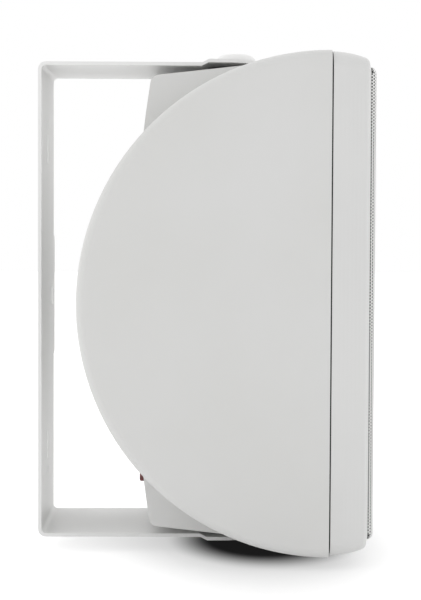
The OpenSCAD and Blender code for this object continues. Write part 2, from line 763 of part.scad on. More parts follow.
// Rear plate and pole of the tweeter
module tweeter_yoke() {
    rear = tweeter_floor - 3 - tweeter_magnet_t;
    color("silver") front_frame(tweeter_z) rotate_extrude($fn = 64) {
        translate([0, rear - 3]) square([tweeter_magnet_r - 6, 3]);
        translate([0, rear - 1]) square([dome_r - 0.3 - 2 * move_gap, tweeter_magnet_t + 4]);
    }
}

// Printed board of the crossover
module crossover_board() {
    color("green") translate([0, board_y, 0]) rotate([90, 0, 0]) linear_extrude(board_t) difference() {
        translate([0, board_z]) round_rect(board_w, board_h, 2);
        for (p = board_holes) translate(p) circle(small_screw_r + through_fit, $fn = 24);
    }
}

module board_screws() {
    color("silver") for (p = board_holes) translate([p[0], board_y - board_t, p[1]]) rotate([90, 0, 0])
        screw(small_screw_r, 7, 2 * small_screw_r, 1.4);
}

// Places on the front of the board: local z points forward from the board
module on_board(x, z) {
    translate([x, board_y - board_t, board_z + z]) rotate([90, 0, 0]) children();
}

// Two air core coils of copper wire
module crossover_coils() {
    color("orange") {
        on_board(-18, 7) ring(14, 6, 0, 12);
        on_board(15, 10) ring(10, 4, 0, 9);
    }
}

// Film capacitors lying on the board
module crossover_capacitors() {
    color("gold") for (z = [-9, -19]) on_board(0, z) translate([0, 0, 4.5]) rotate([0, 90, 0])
        cylinder(r = 4.5, h = 24, $fn = 32);
}

// Cement resistor
module crossover_resistor() {
    color("ivory") on_board(-14, -18) translate([0, 0, 4.5]) cube([14, 9, 9], center = true);
}

// Terminal plate with its housing, lever channels and wire entries
module terminal_plate() {
    housing_w = terminal_w - 12 - 2 * seat_gap;
    housing_h = terminal_h - 6 - 2 * seat_gap;
    color("black") difference() {
        union() {
            translate([-terminal_w / 2, terminal_floor, terminal_z - terminal_h / 2])
                cube([terminal_w, terminal_t, terminal_h]);
            translate([-housing_w / 2, terminal_floor - terminal_depth, terminal_z - housing_h / 2])
                cube([housing_w, terminal_depth, housing_h]);
        }
        for (x = [-lever_x, lever_x]) {
            translate([x - lever_w / 2 - move_gap, lever_back, lever_z - lever_h / 2 - move_gap])
                cube([lever_w + 2 * move_gap, terminal_depth + 10, lever_h + 2 * move_gap]);
            translate([x, terminal_face + 1, wire_hole_z]) rotate([90, 0, 0])
                cylinder(r = wire_hole_r, h = terminal_depth - 2, $fn = 24);
        }
        for (x = [-1, 1]) translate([x * terminal_screw_x, terminal_face + 1, terminal_z])
            rotate([90, 0, 0]) cylinder(r = small_screw_r + through_fit, h = terminal_t + 2, $fn = 24);
    }
}

module terminal_screws() {
    color("silver") for (x = [-1, 1]) translate([x * terminal_screw_x, terminal_face, terminal_z])
        rotate([-90, 0, 0]) screw(small_screw_r, 9, 1.8 * small_screw_r, 1.2);
}

// Push lever with a rounded thumb end
module lever(x) {
    translate([x - lever_w / 2, terminal_face + lever_out - lever_len, lever_z]) rotate([90, 0, 90])
        linear_extrude(lever_w) {
            translate([0, -lever_h / 2]) square([lever_len - 1, lever_h]);
            translate([0, -lever_h / 2 + 1]) square([lever_len, lever_h - 2]);
            for (z = [-1, 1]) translate([lever_len - 1, z * (lever_h / 2 - 1)]) circle(1, $fn = 24);
        }
}

module terminal_lever_red() {
    color("darkred") lever(-lever_x);
}

module terminal_lever_black() {
    color("black") lever(lever_x);
}

// Leaf spring behind a lever
module lever_spring(x) {
    back = lever_back;
    front = terminal_face + lever_out - lever_len - move_gap;
    translate([x - lever_w / 2 + 1, 0, lever_z]) rotate([90, 0, 90]) linear_extrude(lever_w - 2)
        polygon([[back, -lever_h / 2 + 0.4], [front, lever_h / 2 - 1], [front, lever_h / 2 - 0.4],
                 [front - 0.6, lever_h / 2 - 0.4], [back, -lever_h / 2 + 1.2]]);
}

module terminal_spring_red() {
    color("silver") lever_spring(-lever_x);
}

module terminal_spring_black() {
    color("silver") lever_spring(lever_x);
}

// Damping pads that fill the outer part of each cheek
module wadding_pads() {
    outer = cabinet_w / 2 - shell_wall - move_gap;
    color("ivory") intersection() {
        both_sides() cheek_disc(cheek_r - shell_wall - 3, outer - wadding_t, outer, 5);
        translate([-big / 2, seam_y + baffle_screw_len - panel_back + 3, -big / 2]) cube([big, big, big]);
    }
}

// Wire from the terminal to the board
module input_wire() {
    start_y = terminal_floor - terminal_depth - wire_r;
    color("red") wire([[-3, start_y, terminal_z], [-3, start_y - 4, terminal_z + 25],
                       [-3, board_y - board_t - wire_r - 4, board_z - board_h / 2 - 12],
                       [-3, board_y - board_t - wire_r, board_z - board_h / 2 + 3]]);
}

// Wire from the board to the woofer
module woofer_wire() {
    reach = (basket_rear_r + wire_r + move_gap) * cos(45);
    start_y = board_y - board_t - wire_r;
    color("red") wire([[0.4 * board_w, start_y, board_z - 0.12 * board_h],
                       [0.475 * board_w, board_y - board_h / 2, board_z - 0.9 * board_h],
                       [reach, seam_y - spider_v + 4 * wire_r, woofer_z + reach]]);
}

// Wire from the board to the tweeter
module tweeter_wire() {
    rear = seam_y - tweeter_floor + 6 + tweeter_magnet_t;
    start_y = board_y - board_t - wire_r;
    color("red") wire([[-0.425 * board_w, start_y, board_z + 0.16 * board_h],
                       [-0.375 * board_w, (start_y + rear) / 2, tweeter_z + 4],
                       [-0.4 * tweeter_magnet_r, rear + wire_r + move_gap, tweeter_z]]);
}

// U bracket bent from one sheet
module wall_bracket() {
    color("white") difference() {
        union() {
            intersection() {
                translate([-bracket_w / 2, 0, 0]) rotate([90, 0, 90]) linear_extrude(bracket_w)
                    bracket_profile();
                translate([0, 0, -big / 2]) linear_extrude(big) arm_plan();
            }
            rotate([90, 0, 0]) linear_extrude(sheet_t) intersection() {
                round_rect(bracket_w + 2 * ear_w, ear_h, 4);
                translate([0, -big / 2]) square([big, big]);
            }
        }
        top_and_bottom() {
            translate([0, 1, wall_hole_z]) rotate([90, 0, 0])
                cylinder(r = wall_hole_r, h = sheet_t + 2, $fn = 32);
            translate([0, 1, wall_slot_z]) rotate([90, 0, 0]) linear_extrude(sheet_t + 2)
                slot(wall_slot_w, wall_slot_len);
            translate([0, -pivot_reach, arm_end_inner - 1])
                cylinder(r = stud_r + through_fit, h = sheet_t + 2, $fn = 32);
        }
        translate([rope_slot_x, 1, 0]) rotate([90, 0, 0]) linear_extrude(sheet_t + 2)
            rotate(90) slot(rope_slot_w, rope_slot_len);
    }
}

// A slot with round ends that runs along Y
module slot(w, len) {
    square([w, len - w], center = true);
    for (s = [-1, 1]) translate([0, s * (len - w) / 2]) circle(w / 2, $fn = 32);
}

// Plan of an arm with round tip corners
module arm_plan() {
    translate([-bracket_w / 2, arm_tip_y + arm_corner_r]) square([bracket_w, -arm_tip_y - arm_corner_r]);
    translate([-bracket_w / 2 + arm_corner_r, arm_tip_y])
        square([bracket_w - 2 * arm_corner_r, arm_corner_r + 1]);
    for (x = [-1, 1]) translate([x * (bracket_w / 2 - arm_corner_r), arm_tip_y + arm_corner_r])
        circle(arm_corner_r, $fn = 64);
}

// Side view of the bracket as (y, z)
module bracket_profile() {
    outer_r = bend_r + sheet_t;
    step = -(pivot_reach - joggle_reach);
    lean = sheet_t * tan(atan(joggle / joggle_run) / 2);
    translate([-sheet_t, -(arm_outer - outer_r)]) square([sheet_t, 2 * (arm_outer - outer_r)]);
    for (s = [0, 1]) mirror([0, s]) {
        translate([-outer_r, arm_outer - outer_r]) intersection() {
            difference() {
                circle(outer_r, $fn = 48);
                circle(bend_r, $fn = 48);
            }
            square(outer_r);
        }
        polygon([[-outer_r, arm_inner], [-outer_r, arm_outer], [step - lean, arm_outer],
                 [step - joggle_run - lean, arm_end_outer], [arm_tip_y, arm_end_outer],
                 [arm_tip_y, arm_end_inner], [step - joggle_run, arm_end_inner], [step, arm_inner]]);
    }
}

// Friction washers between cabinet and arms
module pivot_washers() {
    color("black") top_and_bottom() translate([0, -pivot_reach, 0])
        ring(washer_r, stud_r + through_fit, pad_z, pad_z + washer_t);
}

// Threaded brass inserts in the cabinet
module pivot_inserts() {
    color("gold") top_and_bottom() translate([0, -pivot_reach, 0])
        ring(insert_r, stud_r + stud_fit, pad_z - insert_len, pad_z);
}

// Moulded head of a clamp knob, on top of an arm
module knob_head() {
    base = arm_end_outer + move_gap;
    rise = knob_h - knob_rim_h;
    run = knob_r - knob_top_r;
    dome_arc_r = (run * run + rise * rise) / (2 * rise);
    color("white") translate([0, -pivot_reach, base]) difference() {
        rotate_extrude($fn = 64) polygon(concat([[0, 0], [knob_r, 0]],
            arc(knob_top_r, knob_h - dome_arc_r, dome_arc_r, asin((dome_arc_r - rise) / dome_arc_r), 90, 8),
            [[0, knob_h]]));
        translate([0, 0, -1]) cylinder(r = stud_r, h = knob_h - 1, $fn = 32);
        for (i = [0:knob_flutes - 1]) rotate([0, 0, 360 * i / knob_flutes]) translate([knob_r + 1.2, 0, -1])
            cylinder(r = 2, h = knob_rim_h + 1, $fn = 24);
    }
}

// Steel stud moulded into the knob
module knob_stud() {
    base = arm_end_outer + move_gap;
    color("silver") translate([0, -pivot_reach, pad_z - stud_grip])
        cylinder(r = stud_r, h = base + knob_h - 2 - pad_z + stud_grip, $fn = 32);
}

module knob_top() {
    knob_head();
}

module knob_bottom() {
    mirror([0, 0, 1]) knob_head();
}

module stud_top() {
    knob_stud();
}

module stud_bottom() {
    mirror([0, 0, 1]) knob_stud();
}

wall_bracket();
rear_cabinet();
front_baffle();
grille();
cabinet_seal();
baffle_screws();
woofer_basket();
woofer_seal();
woofer_screws();
woofer_top_plate();
woofer_magnet();
woofer_yoke();
woofer_cone();
woofer_surround();
woofer_dust_cap();
woofer_spider();
woofer_voice_coil();
tweeter_faceplate();
tweeter_screws();
tweeter_dome();
tweeter_top_plate();
tweeter_magnet();
tweeter_yoke();
crossover_board();
board_screws();
crossover_coils();
crossover_capacitors();
crossover_resistor();
terminal_plate();
terminal_screws();
terminal_lever_red();
terminal_lever_black();
terminal_spring_red();
terminal_spring_black();
wadding_pads();
input_wire();
woofer_wire();
tweeter_wire();
pivot_inserts();
pivot_washers();
knob_top();
knob_bottom();
stud_top();
stud_bottom();
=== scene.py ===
"""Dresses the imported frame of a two-way wall speaker in its U bracket, and lights it in a white studio."""

import logging  # noqa: E402
import math  # noqa: E402
from dataclasses import dataclass, field  # noqa: E402
from enum import Enum  # noqa: E402

import bpy  # noqa: E402
import numpy as np  # noqa: E402
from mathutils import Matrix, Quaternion, Vector  # noqa: E402


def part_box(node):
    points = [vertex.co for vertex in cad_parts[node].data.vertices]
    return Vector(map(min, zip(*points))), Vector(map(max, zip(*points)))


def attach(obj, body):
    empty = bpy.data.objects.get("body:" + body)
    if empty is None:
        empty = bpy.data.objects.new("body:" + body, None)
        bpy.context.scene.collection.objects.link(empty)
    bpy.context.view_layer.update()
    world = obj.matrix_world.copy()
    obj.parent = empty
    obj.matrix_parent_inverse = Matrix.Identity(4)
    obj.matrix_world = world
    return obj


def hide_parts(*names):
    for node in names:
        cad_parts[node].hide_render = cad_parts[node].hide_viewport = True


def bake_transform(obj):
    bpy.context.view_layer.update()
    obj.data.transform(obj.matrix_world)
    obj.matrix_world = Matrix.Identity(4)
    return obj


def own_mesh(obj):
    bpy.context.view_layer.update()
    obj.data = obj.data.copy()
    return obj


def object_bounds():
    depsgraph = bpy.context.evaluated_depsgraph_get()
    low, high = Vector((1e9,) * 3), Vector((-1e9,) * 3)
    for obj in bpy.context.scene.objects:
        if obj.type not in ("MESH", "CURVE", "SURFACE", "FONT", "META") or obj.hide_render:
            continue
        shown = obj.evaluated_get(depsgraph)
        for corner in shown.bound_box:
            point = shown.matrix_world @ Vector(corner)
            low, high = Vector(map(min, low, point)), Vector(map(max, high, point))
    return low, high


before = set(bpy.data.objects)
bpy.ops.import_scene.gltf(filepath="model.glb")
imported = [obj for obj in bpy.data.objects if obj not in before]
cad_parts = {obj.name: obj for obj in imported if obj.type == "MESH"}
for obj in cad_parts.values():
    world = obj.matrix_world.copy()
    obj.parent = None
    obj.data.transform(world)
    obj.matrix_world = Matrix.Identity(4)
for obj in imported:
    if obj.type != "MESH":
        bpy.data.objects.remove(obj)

LOG = logging.getLogger("speaker")
CAD_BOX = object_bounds()
MM = 0.001
Point = tuple[float, float, float]
Pair = tuple[float, float]
# Corners of a hexagonal hole.
HEX = 6


class Body(Enum):
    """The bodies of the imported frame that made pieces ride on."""

    CABINET = "cabinet"
    CONE = "cone"


class Axis(Enum):
    """The axis that turned rings and threads repeat along."""

    X = "X"
    Y = "Y"
    Z = "Z"


# Shader helpers


def linear(hex_colour: str) -> tuple[float, float, float, float]:
    """Turns an sRGB colour into the linear values that shaders take.

    Args:
        hex_colour: a colour such as "#E6E6E3".

    Returns:
        Red, green, blue and an alpha of one.
    """
    values = [int(hex_colour[i : i + 2], 16) / 255 for i in (1, 3, 5)]
    red, green, blue = (v / 12.92 if v <= 0.04045 else ((v + 0.055) / 1.055) ** 2.4 for v in values)
    return red, green, blue, 1.0


def add_node(
    tree: bpy.types.NodeTree,
    kind: str,
    values: dict | None = None,
    links: dict | None = None,
    **settings: object,
) -> bpy.types.Node:
    """Adds one node with its settings, its fixed inputs and its links.

    Args:
        tree: the node tree that takes it.
        kind: the node's type name, without the leading "ShaderNode".
        values: fixed values by input name or number.
        links: sockets by input name or number.
        settings: attributes of the node itself.

    Returns:
        The new node.
    """
    node = tree.nodes.new("ShaderNode" + kind)
    for name, value in settings.items():
        setattr(node, name, value)
    for name, value in (values or {}).items():
        node.inputs[name].default_value = value
    for name, socket in (links or {}).items():
        tree.links.new(socket, node.inputs[name])
    return node


# Finishes


# How softly a clear coat and a halo of fibres spread light, and where a colour's clouds start and end.
COAT_ROUGHNESS = 0.12
SHEEN_ROUGHNESS = 0.5
CLOUD_SPAN = (0.3, 0.7)
# A wave texture takes the sine of this many times the scaled place.
WAVES_PER_TURN = 20


@dataclass(frozen=True)
class Finish:
    """A real material and the way its surface was made.

    The base class has an even, slightly cloudy colour and a fine grain. Its sizes are in millimetres, and a
    grain that is finer in truth is drawn 0.5 to 1.2 mm wide, so that it shows in a render.
    """

    title: str
    colour: str
    shade: str
    roughness: float
    cloud_mm: float = 30.0
    grain_mm: float = 0.8
    grain_height_mm: float = 0.01
    metallic: float = 0.0
    coat: float = 0.0
    sheen: float = 0.0
    ior: float = 1.5

    def build(self) -> bpy.types.Material:
        """Makes the material, or finds it if another piece has it already.

        Returns:
            The Blender material.
        """
        found = bpy.data.materials.get(self.title)
        if found:
            return found
        material = bpy.data.materials.new(self.title)
        material.use_nodes = True
        tree = material.node_tree
        tree.nodes.clear()
        place = add_node(tree, "TexCoord").outputs["Object"]
        values = {"Roughness": self.roughness, "Metallic": self.metallic}
        if not self.metallic:
            values["IOR"] = self.ior
        if self.coat:
            values.update({"Coat Weight": self.coat, "Coat Roughness": COAT_ROUGHNESS})
        if self.sheen:
            values.update({"Sheen Weight": self.sheen, "Sheen Roughness": SHEEN_ROUGHNESS})
        bump = add_node(
            tree,
            "Bump",
            values={"Strength": 1.0, "Distance": self.grain_height_mm * MM},
            links={"Height": self.height(tree, place)},
        )
        shader = add_node(
            tree,
            "BsdfPrincipled",
            values=values,
            links={"Base Color": self.tone(tree, place), "Normal": bump.outputs["Normal"]},
        )
        add_node(tree, "OutputMaterial", links={"Surface": shader.outputs["BSDF"]})
        return material

    def tone(self, tree: bpy.types.NodeTree, place: bpy.types.NodeSocket) -> bpy.types.NodeSocket:
        """Gives the colour, which drifts between two tones over large soft patches.

        Args:
            tree: the material's node tree.
            place: the place on the object.

        Returns:
            The colour.
        """
        cloud = add_node(
            tree,
            "TexNoise",
            values={"Scale": 1 / (self.cloud_mm * MM), "Detail": 2.0},
            links={"Vector": place},
        )
        ramp = add_node(tree, "ValToRGB", links={"Fac": cloud.outputs["Fac"]})
        low, high = ramp.color_ramp.elements
        low.position, high.position = CLOUD_SPAN
        low.color, high.color = linear(self.shade), linear(self.colour)
        return ramp.outputs["Color"]

    def height(self, tree: bpy.types.NodeTree, place: bpy.types.NodeSocket) -> bpy.types.NodeSocket:
        """Gives the height of the fine grain.

        Args:
            tree: the material's node tree.
            place: the place on the object.

        Returns:
            The height, from zero to one.
        """
        grain = add_node(
            tree,
            "TexNoise",
            values={"Scale": 1 / (self.grain_mm * MM), "Detail": 3.0},
            links={"Vector": place},
        )
        return grain.outputs["Fac"]


@dataclass(frozen=True)
class TurnedFinish(Finish):
    """Metal with rings or threads round one axis, a groove every pitch."""

    axis: Axis = Axis.Z
    pitch_mm: float = 1.0

    def height(self, tree: bpy.types.NodeTree, place: bpy.types.NodeSocket) -> bpy.types.NodeSocket:
        """Gives grooves that repeat along the axis.

        Args:
            tree: the material's node tree.
            place: the place on the object.

        Returns:
            The height, from zero to one.
        """
        scale = 2 * math.pi / (WAVES_PER_TURN * self.pitch_mm * MM)
        bands = add_node(
            tree,
            "TexWave",
            values={"Scale": scale, "Distortion": 0.0, "Detail": 0.0},
            links={"Vector": place},
            wave_type="BANDS",
            bands_direction=self.axis.value,
        )
        return bands.outputs["Fac"]


@dataclass(frozen=True)
class WovenFinish(Finish):
    """Cloth with crossing threads at a real thread spacing."""

    thread_mm: float = 0.8

    def height(self, tree: bpy.types.NodeTree, place: bpy.types.NodeSocket) -> bpy.types.NodeSocket:
        """Gives two sets of threads that cross, along X and along Z.

        Args:
            tree: the material's node tree.
            place: the place on the object.

        Returns:
            The height, from zero to one.
        """
        scale = 2 * math.pi / (WAVES_PER_TURN * self.thread_mm * MM)
        sets = [
            add_node(
                tree,
                "TexWave",
                values={"Scale": scale, "Distortion": 0.6, "Detail": 1.0},
                links={"Vector": place},
                wave_type="BANDS",
                bands_direction=way.value,
            ).outputs["Fac"]
            for way in (Axis.X, Axis.Z)
        ]
        crossed = add_node(tree, "Math", links={0: sets[0], 1: sets[1]}, operation="MULTIPLY")
        return crossed.outputs["Value"]


@dataclass(frozen=True)
class FibreFinish(Finish):
    """Pressed or matted fibres, long and crossing."""

    fibre_mm: float = 2.0

    def height(self, tree: bpy.types.NodeTree, place: bpy.types.NodeSocket) -> bpy.types.NodeSocket:
        """Gives fibres as thin worm-like ridges.

        Args:
            tree: the material's node tree.
            place: the place on the object.

        Returns:
            The height, from zero to one.
        """
        fibres = add_node(
            tree,
            "TexNoise",
            values={"Scale": 1 / (self.fibre_mm * MM), "Detail": 6.0, "Roughness": 0.7, "Distortion": 1.5},
            links={"Vector": place},
        )
        return fibres.outputs["Fac"]


# Polyester powder coat, sprayed and baked: a satin white with the faint orange peel of powder that flowed.
POWDER_COATED_STEEL = Finish("powder_coated_steel", "#F0F0EF", "#EDEDEC", 0.42, 60.0, 1.6, 0.012)
# The same coat on the perforated sheet, drier to the eye because so little of each web is flat.
POWDER_COATED_GRILLE = Finish("powder_coated_grille_steel", "#F0F0EF", "#EDEDEC", 0.5, 60.0, 1.6, 0.006)
# ABS moulded in a spark-eroded tool: dead even white and matte. The grain is finer in truth and drawn at
# 0.9 mm so that it shows in the render.
TEXTURED_ABS = Finish("abs_moulded_textured", "#DCDCDB", "#D9D9D7", 0.55, 80.0, 0.9, 0.018)
# ABS from a tool with a finer texture on the baffle: smoother, so its soft edge takes a light line.
SATIN_ABS = Finish("abs_moulded_satin", "#DEDEDD", "#DBDBDA", 0.42, 80.0, 0.8, 0.008)
# Polyamide with glass fibre, moulded: white, a little waxy, for the clamp knobs.
KNOB_NYLON = Finish("polyamide_moulded", "#F0F0EF", "#ECECEB", 0.38, 20.0, 1.2, 0.01)
# Closed-cell foam, die cut: soft black that swallows light in the joint.
SEAL_FOAM = Finish("foam_die_cut", "#26272A", "#1C1D20", 0.95, 5.0, 0.6, 0.08)
# A thin black sheet inside the perforated sheet, a painted shade that stands in for the dark behind the
# holes: dull black, so that each hole reads dark.
HOLE_SHADE_SHEET = Finish("black_sheet_painted_hole_shade", "#17181A", "#0F1011", 0.97, 20.0, 0.6, 0.05)
# Steel screws and plates, bright zinc plated and passivated: cool grey with a faint cloudy bloom.
ZINC_STEEL = Finish("steel_zinc_plated", "#C2C4C4", "#AEB0B2", 0.34, 6.0, 0.7, 0.01, metallic=1.0)
# Rolled M6 thread under bright zinc: fine rings of light up the stud.
THREADED_STEEL = TurnedFinish(
    "steel_rolled_thread", "#C2C4C4", "#A9ABAD", 0.3, 6.0, grain_height_mm=0.25, metallic=1.0, pitch_mm=1.0
)
# Motor plates turned on a lathe before plating: rings along the driver's depth, drawn 0.6 mm apart to show.
TURNED_STEEL = TurnedFinish(
    "steel_turned_plated", "#B4B6B7", "#9FA1A3", 0.36, 10.0, grain_height_mm=0.01, metallic=1.0,
    axis=Axis.Y, pitch_mm=0.6,
)
# Pressed steel basket with stoved black enamel: half gloss, slightly wavy from the press.
ENAMELLED_STEEL = Finish("steel_pressed_enamelled", "#1F1F20", "#171718", 0.35, 12.0, 2.5, 0.03, coat=0.4)
# Strontium ferrite, sintered and ground: charcoal, dry, with fine pits.
FERRITE = Finish("ferrite_sintered", "#3A3A3D", "#2E2E31", 0.75, 4.0, 0.5, 0.06)
# Paper pulp felted on a former and dyed: black with short crossing fibres.
PAPER_PULP = FibreFinish(
    "paper_pulp_felted", "#242322", "#191817", 0.85, 8.0, grain_height_mm=0.12, fibre_mm=2.2
)
# Butyl rubber, compression moulded: black with a soft sheen.
BUTYL_RUBBER = Finish("butyl_rubber_moulded", "#202021", "#1A1A1B", 0.6, 10.0, 1.0, 0.01, ior=1.52)
# Cotton cloth stiffened with phenolic resin and hot pressed: amber, threads 0.8 mm apart.
RESIN_CLOTH = WovenFinish(
    "cotton_resin_pressed", "#B98A3E", "#9C7230", 0.7, 6.0, grain_height_mm=0.12, thread_mm=0.8
)
# Copper wire, enamelled and wound: one bright ridge for each turn, 0.6 mm apart.
WOUND_COPPER = TurnedFinish(
    "copper_enamelled_wound", "#C4703A", "#A85A2C", 0.3, 6.0, grain_height_mm=0.15, metallic=1.0,
    axis=Axis.Y, pitch_mm=0.6,
)
# ABS in black, moulded and lightly grained, for the faceplate and the terminal.
BLACK_ABS = Finish("abs_moulded_black", "#222223", "#1B1B1C", 0.48, 20.0, 0.8, 0.02)
# Silk soaked in a tacky coating and formed: near black, threads 0.5 mm apart show through.
COATED_SILK = WovenFinish(
    "silk_coated_formed", "#2A2A2D", "#202022", 0.45, 4.0, grain_height_mm=0.04, thread_mm=0.5
)
# Glass-fibre laminate with a green solder lacquer: glossy over a woven ground.
LACQUERED_BOARD = WovenFinish(
    "glass_fibre_board_lacquered", "#1F5C38", "#1A5030", 0.4, 10.0,
    grain_height_mm=0.02, coat=0.6, thread_mm=0.7,
)
# Polyester film wound round a capacitor: smooth yellow with a light gloss.
FILM_WRAP = Finish("polyester_film_wound", "#D9A62E", "#CF9A28", 0.28, 8.0, 3.0, 0.01)
# Cement cast round a resistor: chalky off-white with grains of sand.
CAST_CEMENT = Finish("cement_cast", "#D8D6CC", "#C6C3B7", 0.9, 3.0, 0.6, 0.1)
# Polystyrene lever, moulded and polished by the tool: deep red with a clean gloss.
RED_STYRENE = Finish("polystyrene_moulded_red", "#7A2420", "#6C1E1B", 0.3, 8.0, 1.2, 0.006, coat=0.3)
# The same moulding in black.
BLACK_STYRENE = Finish("polystyrene_moulded_black", "#202022", "#1A1A1C", 0.3, 8.0, 1.2, 0.006, coat=0.3)
# Polyester wadding, carded and bonded: white, deep, with a soft halo.
WADDING = FibreFinish(
    "polyester_wadding_bonded", "#E4E2DA", "#D2CFC5", 0.95, 12.0, grain_height_mm=1.2, sheen=0.5, fibre_mm=4.0
)
# Soft PVC drawn over the wire: red, half gloss.
PVC_JACKET = Finish("pvc_extruded", "#8E1E1E", "#821A1A", 0.4, 10.0, 2.0, 0.01)
# Brass insert, turned and grooved to hold in the plastic: warm metal with rings.
TURNED_BRASS = TurnedFinish(
    "brass_turned", "#C9A24F", "#B18B3E", 0.3, 5.0, grain_height_mm=0.1, metallic=1.0, pitch_mm=1.0
)


# Mesh helpers


def make_piece(
    name: str, points: list | np.ndarray, faces: list, finish: Finish, body: Body, smooth_deg: float = 40.0
) -> bpy.types.Object:
    """Makes one piece from points and faces, dresses it and lets it ride on a body.

    Args:
        name: the piece's name.
        points: places in metres, with the wall at zero depth and the front towards minus Y.
        faces: lists of point numbers.
        finish: its finish.
        body: the body that carries it.
        smooth_deg: edges sharper than this stay crisp.

    Returns:
        The new object.
    """
    mesh = bpy.data.meshes.new(name)
    mesh.from_pydata([tuple(map(float, p)) for p in points], [], [tuple(f) for f in faces])
    mesh.update()
    for polygon in mesh.polygons:
        polygon.use_smooth = True
    mesh.set_sharp_from_angle(angle=math.radians(smooth_deg))
    piece = bpy.data.objects.new(name, mesh)
    bpy.context.scene.collection.objects.link(piece)
    mesh.materials.append(finish.build())
    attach(piece, body.value)
    return piece


def tube_faces(rows: int, columns: int, closed: bool = False) -> list[tuple[int, ...]]:
    """Joins rows of points, each row a closed loop, by four-sided faces.

    Args:
        rows: number of rows.
        columns: points in each row.
        closed: whether the last row joins the first.

    Returns:
        Point numbers of each face, row by row.
    """
    faces = []
    for row in range(rows if closed else rows - 1):
        here, there = row * columns, (row + 1) % rows * columns
        for k in range(columns):
            beside = (k + 1) % columns
            faces.append((here + k, here + beside, there + beside, there + k))
    return faces


def dress_node(name: str, finish: Finish) -> bpy.types.Object:
    """Gives a CAD node its finish.

    Args:
        name: the node's name.
        finish: its finish.

    Returns:
        The node's object.
    """
    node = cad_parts[name]
    node.data.materials.clear()
    node.data.materials.append(finish.build())
    return node


def copy_node(node: str, name: str, finish: Finish, body: Body) -> bpy.types.Object:
    """Makes a piece of its own from a CAD node's mesh, which it then stands for.

    Args:
        node: the node's name.
        name: the new piece's name.
        finish: its finish.
        body: the body that carries it.

    Returns:
        The new piece.
    """
    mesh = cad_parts[node].data.copy()
    mesh.materials.clear()
    mesh.materials.append(finish.build())
    piece = bpy.data.objects.new(name, mesh)
    bpy.context.scene.collection.objects.link(piece)
    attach(piece, body.value)
    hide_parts(node)
    return piece


def round_edges(node: bpy.types.Object, radius_mm: float, angle_deg: float, weld_mm: float) -> None:
    """Rounds the sharp edges of a node by a bevel on top of its mesh.

    Args:
        node: the object.
        radius_mm: width of the rounding.
        angle_deg: edges sharper than this are rounded.
        weld_mm: points closer than this count as one.
    """
    weld = node.modifiers.new("joined_points", "WELD")
    weld.merge_threshold = weld_mm * MM
    bevel = node.modifiers.new("edge_radius", "BEVEL")
    bevel.width = radius_mm * MM
    bevel.segments = 2
    bevel.limit_method = "ANGLE"
    bevel.angle_limit = math.radians(angle_deg)
    normals = node.modifiers.new("flat_face_normals", "WEIGHTED_NORMAL")
    normals.keep_sharp = True


# Sub-assemblies


